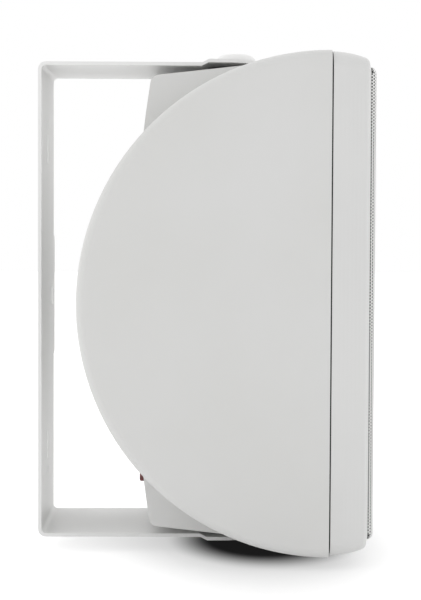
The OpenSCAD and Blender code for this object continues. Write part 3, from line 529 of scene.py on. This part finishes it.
@dataclass
class PerforatedGrille:
    """Steel tray with fine hexagonal perforation that wraps round its rounded edges.

    The sheet is drawn thinner than the real one, so that the holes stay open to the eye at a grazing angle.
    The holes end a little way round the edges, where a plain hem takes over.
    """

    edge_r: float = 4.0 * MM
    sheet: float = 0.4 * MM
    pitch: float = 1.744 * MM
    hole_r: float = 0.66 * MM
    last_hole: float = 5.3 * MM
    # Share of the tray's half width and height that is searched for holes.
    search_share: float = 1.1
    smooth_deg: float = 50.0
    hem_from_deg: float = 80.0
    hem_inset: float = 0.03 * MM
    hem_bends: int = 4
    hem_steps: int = 12
    lining: float = 0.3 * MM
    lining_gap: float = 0.02 * MM
    # How far the lining reaches round the edge past the last holes, and where it turns flat, in radians.
    lining_bend: Pair = (0.05, 0.04)
    lining_bends: int = 10
    lining_steps: int = 8

    def __post_init__(self) -> None:
        """Takes the tray's outline from the CAD node that the detailed sheet stands for."""
        low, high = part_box("grille")
        self.centre = (low + high) / 2
        self.half_w, self.half_h = (high.x - low.x) / 2, (high.z - low.z) / 2
        self.front, self.rear = low.y, high.y
        self.flat_u, self.flat_v = self.half_w - self.edge_r, self.half_h - self.edge_r

    def place(self, u: np.ndarray, v: np.ndarray, deep: float) -> np.ndarray:
        """Folds points of the flat sheet round the tray's edges.

        Args:
            u: places across the flat sheet.
            v: places up the flat sheet.
            deep: depth below the outer skin.

        Returns:
            Places on the speaker.
        """
        over_u, over_v = np.maximum(np.abs(u) - self.flat_u, 0), np.maximum(np.abs(v) - self.flat_v, 0)
        over = np.hypot(over_u, over_v)
        turn = np.minimum(over / self.edge_r, math.pi / 2)
        straight = np.maximum(over - self.edge_r * math.pi / 2, 0)
        reach = (self.edge_r - deep) * np.sin(turn)
        drop = self.edge_r - (self.edge_r - deep) * np.cos(turn) + straight
        safe = np.where(over > 0, over, 1)
        x = np.sign(u) * (np.minimum(np.abs(u), self.flat_u) + reach * over_u / safe)
        z = np.sign(v) * (np.minimum(np.abs(v), self.flat_v) + reach * over_v / safe)
        return np.stack([self.centre.x + x, self.front + drop, self.centre.z + z], axis=-1)

    def lattice(self) -> dict[tuple[int, int], Pair]:
        """Lists the centres of the holes that fit on the sheet.

        Returns:
            Places on the flat sheet, by column and half row.
        """
        column = self.pitch * math.cos(math.pi / 6)
        across = int(self.half_w * self.search_share / column)
        up = int(self.half_h * self.search_share / self.pitch)
        spots = {}
        for i in range(-across, across + 1):
            for j in range(-2 * up, 2 * up + 1):
                if (i + j) % 2:
                    continue
                u, v = i * column, j * self.pitch / 2
                over = math.hypot(max(abs(u) - self.flat_u, 0), max(abs(v) - self.flat_v, 0))
                if over <= self.last_hole:
                    spots[i, j] = (u, v)
        return spots

    def build_sheet(
        self, name: str, low_row: int, high_row: int, spots: dict[tuple[int, int], Pair]
    ) -> bpy.types.Object:
        """Builds one stretch of the perforated sheet with the walls of its holes.

        Args:
            name: the piece's name.
            low_row: the lowest half row in it.
            high_row: the half row above its last.
            spots: all centres of holes.

        Returns:
            The piece.
        """
        corners = [(math.cos(a), math.sin(a)) for a in (math.radians(360 / HEX * k) for k in range(HEX))]
        near = [key for key in spots if low_row - 2 <= key[1] < high_row + 2]
        index = {key: n for n, key in enumerate(near)}
        centre = np.array([spots[key] for key in near])
        ring = centre[:, None, :] + self.hole_r * np.array(corners)[None, :, :]
        u, v = ring[..., 0].ravel(), ring[..., 1].ravel()
        points = np.concatenate([self.place(u, v, 0.0), self.place(u, v, self.sheet)])
        below = HEX * len(near)
        faces = []
        for (i, j), n in index.items():
            if not low_row <= j < high_row:
                continue
            a = HEX * n
            for k in range(HEX):
                after = (k + 1) % HEX
                faces.append((a + k, a + after, below + a + after, below + a + k))
            # Corner k of a hole stands at 60 k degrees, and each web joins the facing corners of two holes.
            keys = ((i + 1, j + 1), (i, j + 2), (i - 1, j + 1), (i + 1, j - 1))
            right, up, left, low = (HEX * index[key] if key in index else None for key in keys)
            if right is not None:
                faces.append((a, right + 4, right + 3, a + 1))
            if up is not None:
                faces.append((a + 1, up + 5, up + 4, a + 2))
            if left is not None:
                faces.append((a + 2, left, left + 5, a + 3))
            if right is not None and up is not None:
                faces.append((a + 1, right + 3, up + 5))
            if right is not None and low is not None:
                faces.append((a, low + 2, right + 4))
        used = np.unique(np.concatenate([np.array(f) for f in faces]))
        renumber = {int(old): new for new, old in enumerate(used)}
        kept = [[renumber[p] for p in f] for f in faces]
        piece = make_piece(name, points[used], kept, POWDER_COATED_GRILLE, Body.CABINET, self.smooth_deg)
        return piece

    def around(self, out: float, back: float, steps: int) -> list[Point]:
        """Runs one point of an edge's section round the four corners of the tray.

        Args:
            out: distance out from the centre of the edge's bend.
            back: distance back from it.
            steps: stretches in each corner.

        Returns:
            The loop of places on the speaker.
        """
        loop = []
        for corner, (side, end) in enumerate(((1, 1), (-1, 1), (-1, -1), (1, -1))):
            for k in range(steps + 1):
                a = math.radians(90 * (corner + k / steps))
                x = self.centre.x + side * self.flat_u + out * math.cos(a)
                z = self.centre.z + end * self.flat_v + out * math.sin(a)
                loop.append((x, self.front + self.edge_r + back, z))
        return loop

    def build_hem(self) -> bpy.types.Object:
        """Builds the plain hem that runs round the tray behind the last holes.

        Returns:
            The piece.
        """
        start = math.radians(self.hem_from_deg)
        bend = [start + (math.pi / 2 - start) * k / self.hem_bends for k in range(self.hem_bends + 1)]
        outer_r, inner_r = self.edge_r - self.hem_inset, self.edge_r - self.sheet
        end = self.rear - self.front - self.edge_r
        profile = [(outer_r * math.sin(a), -outer_r * math.cos(a)) for a in bend]
        profile += [(outer_r, end), (inner_r, end)]
        profile += [(inner_r * math.sin(a), -inner_r * math.cos(a)) for a in reversed(bend)]
        loops = [self.around(out, back, self.hem_steps) for out, back in profile]
        points = [place for section in zip(*loops) for place in section]
        faces = tube_faces(len(loops[0]), len(profile), closed=True)
        piece = make_piece("grille_hem", points, faces, POWDER_COATED_GRILLE, Body.CABINET)
        return piece

    def build_lining(self) -> bpy.types.Object:
        """Builds the black lining inside the sheet, a painted shade that makes its holes read dark.

        Returns:
            The piece.
        """
        past_holes, flat = self.lining_bend
        bends = np.linspace(self.last_hole / self.edge_r + past_holes, flat, self.lining_bends)
        outer_r = self.edge_r - (self.sheet + self.lining_gap)
        inner_r = self.edge_r - (self.sheet + self.lining)
        profile = [(outer_r * math.sin(a), outer_r * math.cos(a)) for a in bends]
        profile += [(inner_r * math.sin(a), inner_r * math.cos(a)) for a in bends[::-1]]
        loops = [self.around(out, -ahead, self.lining_steps) for out, ahead in profile]
        points = [place for loop in loops for place in loop]
        ring, turn = len(loops[0]), len(bends) - 1
        faces = tube_faces(len(profile), ring, closed=True)
        del faces[turn * ring : (turn + 1) * ring]
        faces.append(tuple(range(turn * ring, (turn + 1) * ring)))
        faces.append(tuple(range((turn + 2) * ring - 1, (turn + 1) * ring - 1, -1)))
        piece = make_piece("grille_lining", points, faces, HOLE_SHADE_SHEET, Body.CABINET)
        return piece

    def build(self) -> list[bpy.types.Object]:
        """Builds the sheet in two halves, each under 200,000 triangles, its hem and its lining.

        Returns:
            The pieces.
        """
        spots = self.lattice()
        top = max(j for _, j in spots) + 1
        pieces = [
            self.build_sheet("grille_lower_sheet", -top, 0, spots),
            self.build_sheet("grille_upper_sheet", 0, top, spots),
            self.build_hem(),
            self.build_lining(),
        ]
        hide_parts("grille")
        LOG.info("perforated sheet with %d holes", len(spots))
        return pieces


@dataclass
class Cabinet:
    """Moulded rear shell, baffle with bezel and the dark foam in the joint between them."""

    def build(self) -> list[bpy.types.Object]:
        """Dresses the shell, the baffle and the seal.

        Returns:
            The pieces.
        """
        shell = dress_node("rear_cabinet", TEXTURED_ABS)
        baffle = dress_node("front_baffle", SATIN_ABS)
        return [shell, baffle, dress_node("cabinet_seal", SEAL_FOAM)]


@dataclass
class WallBracket:
    """U bracket bent from coated sheet, with edges rounded by the coat."""

    edge_mm: float = 0.35
    sharp_deg: float = 40.0
    weld_mm: float = 0.01

    def build(self) -> list[bpy.types.Object]:
        """Dresses the bracket.

        Returns:
            The pieces.
        """
        bracket = dress_node("wall_bracket", POWDER_COATED_STEEL)
        round_edges(bracket, self.edge_mm, self.sharp_deg, self.weld_mm)
        return [bracket]


@dataclass
class ClampKnobs:
    """The two clamp knobs with their threaded studs, washers and brass inserts."""

    def build(self) -> list[bpy.types.Object]:
        """Dresses the knobs and what they clamp.

        Returns:
            The pieces.
        """
        knobs = [dress_node(name, KNOB_NYLON) for name in ("knob_top", "knob_bottom")]
        studs = [dress_node(name, THREADED_STEEL) for name in ("stud_top", "stud_bottom")]
        washers = dress_node("pivot_washers", BUTYL_RUBBER)
        return [*knobs, *studs, washers, dress_node("pivot_inserts", TURNED_BRASS)]


@dataclass
class Terminal:
    """Push terminal at the rear with its two levers, springs and screws."""

    # A hair more than a lever's travel, so that spring and lever keep clear of each other.
    spring_stroke: float = 2.6 * MM

    def build(self) -> list[bpy.types.Object]:
        """Dresses the terminal and gives each spring a copied mesh of its own.

        Returns:
            The pieces.
        """
        pieces = [
            dress_node("terminal_plate", BLACK_ABS),
            dress_node("terminal_lever_red", RED_STYRENE),
            dress_node("terminal_lever_black", BLACK_STYRENE),
            dress_node("terminal_screws", ZINC_STEEL),
        ]
        for side in ("red", "black"):
            node = "terminal_spring_" + side
            spring = copy_node(node, "leaf_spring_" + side, ZINC_STEEL, Body.CABINET)
            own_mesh(spring)
            pieces.append(spring)
        return pieces


@dataclass
class Drivers:
    """Woofer and tweeter behind the grille."""

    finishes: dict[str, Finish] = field(
        default_factory=lambda: {
            "woofer_basket": ENAMELLED_STEEL,
            "woofer_seal": SEAL_FOAM,
            "woofer_screws": ZINC_STEEL,
            "woofer_top_plate": TURNED_STEEL,
            "woofer_magnet": FERRITE,
            "woofer_yoke": TURNED_STEEL,
            "woofer_cone": PAPER_PULP,
            "woofer_dust_cap": PAPER_PULP,
            "woofer_voice_coil": WOUND_COPPER,
            "tweeter_faceplate": BLACK_ABS,
            "tweeter_screws": ZINC_STEEL,
            "tweeter_dome": COATED_SILK,
            "tweeter_top_plate": TURNED_STEEL,
            "tweeter_magnet": FERRITE,
            "tweeter_yoke": TURNED_STEEL,
            "baffle_screws": ZINC_STEEL,
        }
    )

    def build(self) -> list[bpy.types.Object]:
        """Dresses the nodes of both drivers.

        Returns:
            The pieces.
        """
        return [dress_node(name, finish) for name, finish in self.finishes.items()]


@dataclass
class SoftRings:
    """The surround and the spider, which stretch between the still basket and the moving cone.

    Each ring is made of sectors, each hung on no single body. The widths called still and moving are what the
    basket and the cone hold fast at a ring's two edges.
    """

    sectors: int = 12
    steps: int = 6
    smooth_deg: float = 60.0
    rubber: float = 0.8 * MM
    lip: float = 1.0 * MM
    roll_gap: float = 0.6 * MM
    roll_points: int = 15
    surround_still: float = 5 * MM
    surround_moving: float = 0.5 * MM
    coil_wire: float = 0.4 * MM
    cloth: float = 0.6 * MM
    cuff: float = 3 * MM
    wave: float = 1.2 * MM
    waves: int = 4
    wave_points: int = 33
    spider_still: float = 4 * MM
    spider_moving: float = 1 * MM

    def __post_init__(self) -> None:
        """Takes the woofer's axis and the rings' sizes from the CAD nodes."""
        low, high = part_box("woofer_surround")
        self.axis_x, self.axis_z = (low.x + high.x) / 2, (low.z + high.z) / 2
        self.surround_out, self.surround_y = (high.x - low.x) / 2, high.y
        self.roll = high.y - low.y
        low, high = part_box("woofer_cone")
        self.cone_out = (high.x - low.x) / 2
        low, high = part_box("woofer_voice_coil")
        self.tube_out = (high.x - low.x) / 2 - self.coil_wire
        low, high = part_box("woofer_spider")
        self.spider_out, self.spider_y = (high.x - low.x) / 2, high.y

    def surround_profile(self) -> list[Pair]:
        """Gives the outline of the surround: a lip on the cone, a half roll and a flange on the basket.

        Returns:
            The closed outline as (radius, forward).
        """
        mid = self.cone_out + self.roll + self.roll_gap
        rise = math.asin(self.rubber / self.roll)
        over = np.linspace(rise, math.pi - rise, self.roll_points)
        outer = [(mid - self.roll * math.cos(a), self.roll * math.sin(a)) for a in over]
        inner_r = self.roll - self.rubber
        under = np.linspace(0, math.pi, self.roll_points)
        inner = [(mid + inner_r * math.cos(a), inner_r * math.sin(a)) for a in under]
        start = self.cone_out - self.lip
        flange = [(self.surround_out, self.rubber), (self.surround_out, 0.0)]
        return [(start, self.rubber), *outer, *flange, *inner, (start, 0.0)]

    def spider_profile(self) -> list[Pair]:
        """Gives the outline of the spider: waves from the coil's tube to a flat cuff on the basket.

        Returns:
            The closed outline as (radius, forward).
        """
        last = self.spider_out - self.cuff
        front = []
        for t in np.linspace(0, 1, self.wave_points):
            lift = self.wave * (1 - math.cos(2 * math.pi * self.waves * t)) / 2
            front.append((self.tube_out + (last - self.tube_out) * t, lift))
        front.append((self.spider_out, 0.0))
        return front + [(r, f + self.cloth) for r, f in reversed(front)]

    def spot(self, radius: float, angle: float, y: float) -> Point:
        """Gives the place at a radius and an angle round the woofer's axis."""
        return self.axis_x + radius * math.cos(angle), y, self.axis_z + radius * math.sin(angle)

    def build_ring(
        self,
        node: str,
        name: str,
        profile: list[Pair],
        y: float,
        finish: Finish,
    ) -> list[bpy.types.Object]:
        """Builds one ring as sectors, each reaching from the cone to the basket.

        Args:
            node: the CAD node that it stands for.
            name: first part of the pieces' names.
            profile: closed outline as (radius, forward).
            y: place of the outline's zero along Y.
            finish: its finish.

        Returns:
            The sectors.
        """
        pieces = []
        faces = tube_faces(self.steps + 1, len(profile))
        for s in range(self.sectors):
            angles = np.linspace(s, s + 1, self.steps + 1) * 2 * math.pi / self.sectors
            points = [self.spot(r, a, y - f) for a in angles for r, f in profile]
            piece = make_piece(f"{name}_{s + 1:02d}", points, faces, finish, Body.CABINET, self.smooth_deg)
            # A sector hangs on no single body.
            piece.parent = None
            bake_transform(piece)
            pieces.append(piece)
        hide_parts(node)
        return pieces

    def build(self) -> list[bpy.types.Object]:
        """Builds both rings.

        Returns:
            The sectors of both.
        """
        surround = self.build_ring(
            "woofer_surround",
            "surround",
            self.surround_profile(),
            self.surround_y,
            BUTYL_RUBBER,
        )
        spider = self.build_ring(
            "woofer_spider",
            "spider",
            self.spider_profile(),
            self.spider_y,
            RESIN_CLOTH,
        )
        return surround + spider


@dataclass
class Inside:
    """Crossover, wires and wadding in the closed cabinet."""

    finishes: dict[str, Finish] = field(
        default_factory=lambda: {
            "crossover_board": LACQUERED_BOARD,
            "board_screws": ZINC_STEEL,
            "crossover_coils": WOUND_COPPER,
            "crossover_capacitors": FILM_WRAP,
            "crossover_resistor": CAST_CEMENT,
            "wadding_pads": WADDING,
            "input_wire": PVC_JACKET,
            "woofer_wire": PVC_JACKET,
            "tweeter_wire": PVC_JACKET,
        }
    )

    def build(self) -> list[bpy.types.Object]:
        """Dresses the nodes inside the cabinet.

        Returns:
            The pieces.
        """
        return [dress_node(name, finish) for name, finish in self.finishes.items()]


@dataclass
class Studio:
    """White floor, soft light and the camera at the photograph's angle."""

    # Camera: square to the side, a little above the middle, tilted slightly down.
    camera_at: Point = (-0.984, -0.0868, 0.0417)
    pitch_deg: float = 2.5
    yaw_deg: float = 0.79
    roll_deg: float = 0.26
    lens_mm: float = 97.56
    sensor_mm: float = 36.0
    clip: Pair = (0.01, 50.0)
    floor_half: float = 6.0
    floor_gap: float = 0.2 * MM
    # White sky, brighter towards the far side, with a soft lamp above the wall side and one low beside it.
    sky_level: float = 1.08
    sky_slope: Point = (0.42, 0.04, 0.0)
    key_watts: float = 0.3
    key_at: Point = (-0.4, 1.3, 1.1)
    key_size: float = 1.2
    fill_watts: float = 0.45
    fill_at: Point = (-0.55, 0.75, -0.08)
    fill_size: float = 0.4
    lamps_aim_at: Point = (0.0, -0.1, 0.0)
    # What the eye sees of the floor is its glow and its lit white. What lights the speaker is its real white.
    floor_glow: float = 0.72
    floor_seen: float = 0.5
    floor_real: float = 0.97
    # A painted shadow on the floor: a dark oval under the cheeks and a soft grey one round it, both a little
    # behind the front seam.
    painted_shadow_behind_seam: float = 0.032
    painted_core_half: Pair = (0.055, 0.036)
    painted_core_fade: Pair = (0.92, 1.7)
    painted_core_level: float = 0.02
    painted_halo_half: Pair = (0.24, 0.11)
    painted_halo_fade: Pair = (0.2, 1.0)
    painted_halo_level: float = 0.66

    def build_floor(self) -> bpy.types.Object:
        """Builds the floor, which the camera sees white except in the object's real shadow and in a painted
        shadow under it.

        Returns:
            The floor.
        """
        size, level = self.floor_half, CAD_BOX[0].z - self.floor_gap
        corners = [(x, y, level) for x, y in ((-size, -size), (size, -size), (size, size), (-size, size))]
        mesh = bpy.data.meshes.new("floor")
        mesh.from_pydata(corners, [], [(0, 1, 2, 3)])
        floor = bpy.data.objects.new("floor", mesh)
        bpy.context.scene.collection.objects.link(floor)
        # White acrylic that glows to the eye: plain white, darker where the speaker's real shadow falls on
        # its lit share and where a painted shadow lies under the cabinet.
        material = bpy.data.materials.new("studio_acrylic_painted_shadow")
        material.use_nodes = True
        tree = material.node_tree
        tree.nodes.clear()
        painted_shadow = self.painted_contact_shadow(tree)
        # The painted shadow darkens both the glow and the lit white.
        glow = add_node(tree, "Math", values={1: self.floor_glow}, links={0: painted_shadow}, operation="MULTIPLY")
        lit = add_node(tree, "Math", values={1: self.floor_seen}, links={0: painted_shadow}, operation="MULTIPLY")
        emitter = add_node(tree, "Emission", links={"Strength": glow.outputs["Value"]})
        grey = add_node(
            tree, "CombineColor", links=dict.fromkeys(("Red", "Green", "Blue"), lit.outputs["Value"])
        )
        skin = add_node(tree, "BsdfDiffuse", links={"Color": grey.outputs["Color"]})
        shown = add_node(tree, "AddShader", links={0: emitter.outputs["Emission"], 1: skin.outputs["BSDF"]})
        plain = add_node(tree, "BsdfDiffuse", values={"Color": (self.floor_real,) * 3 + (1.0,)})
        shader = add_node(
            tree,
            "MixShader",
            links={0: self.seen_ray(tree), 1: plain.outputs["BSDF"], 2: shown.outputs["Shader"]},
        )
        add_node(tree, "OutputMaterial", links={"Surface": shader.outputs["Shader"]})
        mesh.materials.append(material)
        return floor

    def painted_contact_shadow(self, tree: bpy.types.NodeTree) -> bpy.types.NodeSocket:
        """Gives the painted shadow: the floor's share of light, painted darker in ovals fixed under the
        cabinet.

        Args:
            tree: the floor's node tree.

        Returns:
            The painted share: next to nothing under the cheeks, a soft grey round them and one away from
                them.
        """
        painted_core = self.painted_oval_shade(tree, self.painted_core_half, self.painted_core_fade, self.painted_core_level)
        halo = self.painted_oval_shade(tree, self.painted_halo_half, self.painted_halo_fade, self.painted_halo_level)
        return add_node(tree, "Math", links={0: painted_core, 1: halo}, operation="MULTIPLY").outputs["Value"]

    def painted_oval_shade(
        self, tree: bpy.types.NodeTree, half: Pair, fade: Pair, level: float
    ) -> bpy.types.NodeSocket:
        """Gives a painted shade, a share of light that rises to one outwards from an oval fixed under the
        cabinet.

        Args:
            tree: the floor's node tree.
            half: the oval's half widths along X and Y.
            fade: where the rise starts and ends, as shares of the oval.
            level: the share inside.

        Returns:
            The painted share of light.
        """
        middle = Vector((0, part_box("rear_cabinet")[0].y + self.painted_shadow_behind_seam, 0))
        place = add_node(tree, "TexCoord").outputs["Object"]
        off = add_node(tree, "VectorMath", values={1: middle}, links={0: place}, operation="SUBTRACT")
        share = add_node(
            tree,
            "VectorMath",
            values={1: (*half, self.floor_half)},
            links={0: off.outputs["Vector"]},
            operation="DIVIDE",
        )
        reach = add_node(tree, "VectorMath", links={0: share.outputs["Vector"]}, operation="LENGTH")
        rise = add_node(
            tree,
            "MapRange",
            values={"From Min": fade[0], "From Max": fade[1], "To Min": level, "To Max": 1.0},
            links={"Value": reach.outputs["Value"]},
            interpolation_type="SMOOTHSTEP",
        )
        return rise.outputs["Result"]

    def seen_ray(self, tree: bpy.types.NodeTree) -> bpy.types.NodeSocket:
        """Tells a ray that the eye follows from one that lights the object.

        Args:
            tree: the node tree of the floor or the world.

        Returns:
            One for a ray from the camera, a reflection or a clear piece, else nothing.
        """
        path = add_node(tree, "LightPath")
        first = add_node(
            tree,
            "Math",
            links={0: path.outputs["Is Camera Ray"], 1: path.outputs["Is Glossy Ray"]},
            operation="MAXIMUM",
        )
        both = add_node(
            tree,
            "Math",
            links={0: first.outputs["Value"], 1: path.outputs["Is Transmission Ray"]},
            operation="MAXIMUM",
        )
        return both.outputs["Value"]

    def build_lamp(self, name: str, at: Point, watts: float, size: float) -> None:
        """Builds one soft square lamp that points at the speaker.

        Args:
            name: the lamp's name.
            at: where it stands.
            watts: its power.
            size: its edge.
        """
        lamp = bpy.data.lights.new(name, "AREA")
        lamp.energy, lamp.size = watts, size
        holder = bpy.data.objects.new(name, lamp)
        bpy.context.scene.collection.objects.link(holder)
        holder.location = at
        towards = Vector(self.lamps_aim_at) - Vector(at)
        holder.rotation_euler = towards.to_track_quat("-Z", "Y").to_euler()

    def build_light(self) -> None:
        """Builds the white sky and two soft lamps, one above the wall side and one low down beside it."""
        world = bpy.data.worlds.new("studio")
        bpy.context.scene.world = world
        world.use_nodes = True
        tree = world.node_tree
        tree.nodes.clear()
        way = add_node(tree, "TexCoord").outputs["Generated"]
        lean = add_node(
            tree, "VectorMath", values={1: self.sky_slope}, links={0: way}, operation="DOT_PRODUCT"
        )
        tent = add_node(
            tree, "Math", values={1: self.sky_level}, links={0: lean.outputs["Value"]}, operation="ADD"
        )
        level = add_node(
            tree,
            "Mix",
            values={3: 1.0},
            links={0: self.seen_ray(tree), 2: tent.outputs["Value"]},
            data_type="FLOAT",
        )
        sky = add_node(
            tree, "Background", values={"Color": (1, 1, 1, 1)}, links={"Strength": level.outputs[0]}
        )
        add_node(tree, "OutputWorld", links={"Surface": sky.outputs["Background"]})
        self.build_lamp("key", self.key_at, self.key_watts, self.key_size)
        self.build_lamp("fill", self.fill_at, self.fill_watts, self.fill_size)

    def build_camera(self) -> bpy.types.Object:
        """Builds the camera, which looks along +X with the front of the speaker to the right.

        Returns:
            The camera.
        """
        data = bpy.data.cameras.new("camera")
        data.sensor_width, data.lens = self.sensor_mm, self.lens_mm
        data.clip_start, data.clip_end = self.clip
        camera = bpy.data.objects.new("camera", data)
        bpy.context.scene.collection.objects.link(camera)
        pitch, yaw = math.radians(self.pitch_deg), math.radians(self.yaw_deg)
        level = math.cos(pitch)
        look = Vector((level * math.cos(yaw), -level * math.sin(yaw), -math.sin(pitch)))
        camera.location = self.camera_at
        turn = look.to_track_quat("-Z", "Y") @ Quaternion((0, 0, 1), math.radians(self.roll_deg))
        camera.rotation_euler = turn.to_euler()
        bpy.context.scene.camera = camera
        return camera

    def build(self) -> None:
        """Builds floor, light and camera, and sets the plain view transform."""
        bpy.context.scene.view_settings.view_transform = "Standard"
        self.build_floor()
        self.build_light()
        self.build_camera()


def main() -> None:
    """Builds the studio and the sub-assemblies in order and reports each piece."""
    logging.basicConfig(level=logging.INFO, format="%(name)s: %(message)s")
    Studio().build()
    parts = (
        PerforatedGrille(),
        Cabinet(),
        WallBracket(),
        ClampKnobs(),
        Terminal(),
        Drivers(),
        SoftRings(),
        Inside(),
    )
    for assembly in parts:
        for piece in assembly.build():
            LOG.info("%s: %s", type(assembly).__name__, piece.name)


if __name__ == "__main__":
    main()
